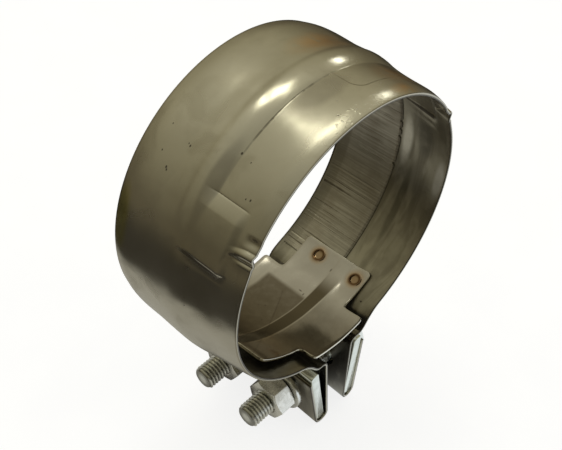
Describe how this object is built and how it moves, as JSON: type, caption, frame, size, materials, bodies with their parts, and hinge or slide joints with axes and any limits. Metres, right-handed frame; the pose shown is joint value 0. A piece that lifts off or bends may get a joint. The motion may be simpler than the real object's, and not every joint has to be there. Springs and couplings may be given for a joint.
{
  "type": "lap-joint band pipe clamp",
  "caption": "Stepped stainless band clamp that joins and seals two pipe ends, drawn tight by bolts through looped ears.",
  "frame": {"origin": "centre of the bore, on its axis, half way along the band's width", "axes": "+Y along the bore towards its larger end, +Z away from the ears, +X towards the bolt heads"},
  "size_m": [0.1404, 0.0636, 0.1912],
  "materials": {
    "band_steel": "rolled satin stainless steel with soft reflections, small pits and faint heat tints",
    "liner_steel": "dull stainless strip with fine ribs across it",
    "tongue_steel": "satin stainless with a brown heat tint and two browned spot welds",
    "zinc_plate": "bright zinc plate on sheared bar",
    "bolt_steel": "zinc-plated rolled thread",
    "nut_steel": "bright zinc plate",
    "washer_steel": "bright zinc plate"
  },
  "bodies": {
    "right_half": {"band_right": "band_steel", "liner_right": "liner_steel", "sealing_tongue": "tongue_steel", "bar_head_side": "zinc_plate", "bolt_front": "bolt_steel", "bolt_rear": "bolt_steel", "head_washer_front": "washer_steel", "head_washer_rear": "washer_steel"},
    "left_half": {"band_left": "band_steel", "liner_left": "liner_steel", "bar_nut_side": "zinc_plate"},
    "front_washer": {"nut_washer_front": "washer_steel"},
    "rear_washer": {"nut_washer_rear": "washer_steel"},
    "front_nut": {"nut_front": "nut_steel"},
    "rear_nut": {"nut_rear": "nut_steel"}
  },
  "joints": [
    {"name": "band_close", "type": "hinge", "parent": "right_half", "child": "left_half", "pos_m": [0, 0, 0.066], "axis": [0, -1, 0], "range_deg": [-3.02, 2.85]},
    {"name": "front_nut_travel", "type": "slide", "parent": "right_half", "child": "front_washer", "axis": [1, 0, 0], "range_m": [-0.0079, 0.00745]},
    {"name": "rear_nut_travel", "type": "slide", "parent": "right_half", "child": "rear_washer", "axis": [1, 0, 0], "range_m": [-0.0079, 0.00745]},
    {"name": "front_nut_spin", "type": "hinge", "parent": "front_washer", "child": "front_nut", "pos_m": [-0.0277, -0.015, -0.0954], "axis": [1, 0, 0], "range_deg": [-1620, 1530]},
    {"name": "rear_nut_spin", "type": "hinge", "parent": "rear_washer", "child": "rear_nut", "pos_m": [-0.0277, 0.015, -0.0954], "axis": [1, 0, 0], "range_deg": [-1620, 1530]}
  ],
  "couplings": [
    {"joint": "rear_nut_spin", "follows": "front_nut_spin", "ratio": 1},
    {"joint": "front_nut_travel", "follows": "front_nut_spin", "m_per_rad": 0.00027852},
    {"joint": "rear_nut_travel", "follows": "front_nut_spin", "m_per_rad": 0.00027852},
    {"joint": "band_close", "follows": "front_nut_spin", "ratio": 0.0018568}
  ]
}
